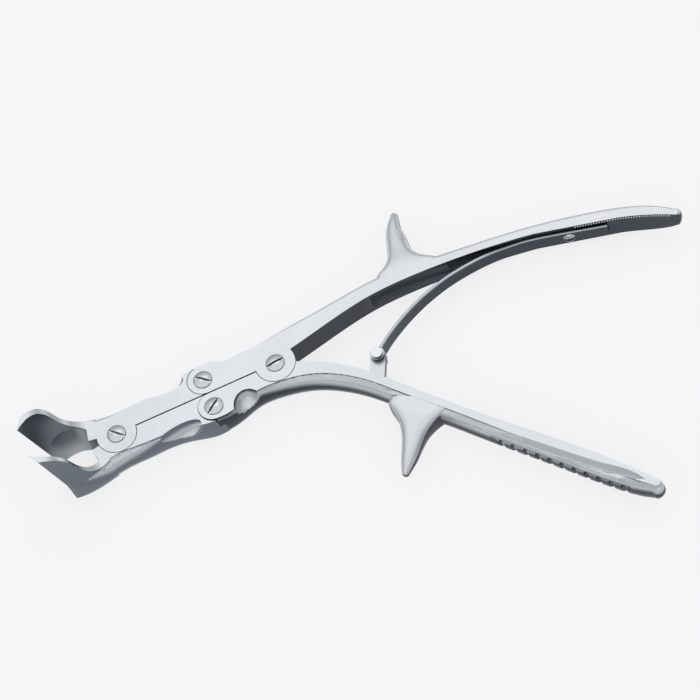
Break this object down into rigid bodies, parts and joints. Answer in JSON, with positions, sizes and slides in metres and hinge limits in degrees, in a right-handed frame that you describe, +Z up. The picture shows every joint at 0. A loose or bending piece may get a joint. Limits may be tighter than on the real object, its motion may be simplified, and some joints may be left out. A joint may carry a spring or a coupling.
{
  "type": "bone cutting forceps",
  "caption": "Double-action bone cutting forceps: two upturned end-cutting jaws, two spurred handles, four pivot screws and a leaf spring that reopens them.",
  "frame": {"origin": "on the underside of the handle joint, on the axis of the handle pivot", "axes": "+Z up, along the pivots' axes, towards the screw heads and the blade tips; +X along the head, from the blades to the handles"},
  "size_m": [0.2832, 0.1713, 0.036],
  "materials": {
    "steel": "satin to mirror polished stainless steel",
    "screw_steel": "polished stainless steel",
    "spring_steel": "polished spring steel"
  },
  "bodies": {
    "lower_handle": {"lower_handle": "steel", "handle_screw": "screw_steel", "spring_lug": "steel", "lug_pin": "screw_steel"},
    "upper_handle": {"upper_handle": "steel", "leaf_spring": "spring_steel", "spring_screw": "screw_steel"},
    "lower_jaw": {"lower_jaw": "steel", "jaw_screw": "screw_steel", "lower_link_screw": "screw_steel"},
    "upper_jaw": {"upper_jaw": "steel", "upper_link_screw": "screw_steel"}
  },
  "joints": [
    {"name": "handle_pivot", "type": "hinge", "parent": "lower_handle", "child": "upper_handle", "pos_m": [0, 0, 0.0062], "axis": [0, 0, -1], "range_deg": [0, 28.48], "stiffness_Nm_per_rad": 1.2, "springref_deg": -6.88, "deforming": ["leaf_spring"]},
    {"name": "lower_link_pivot", "type": "hinge", "parent": "lower_handle", "child": "lower_jaw", "pos_m": [-0.03, -0.0068, 0.0062], "axis": [0, 0, -1], "range_deg": [0, 24.45]},
    {"name": "jaw_pivot", "type": "hinge", "parent": "lower_jaw", "child": "upper_jaw", "pos_m": [-0.0711, 0, 0.0062], "axis": [0, 0, 1], "range_deg": [0, 20.41]}
  ],
  "couplings": [
    {"joint": "lower_link_pivot", "follows": "handle_pivot", "ratio": 0.8581},
    {"joint": "jaw_pivot", "follows": "handle_pivot", "ratio": 0.7163}
  ]
}
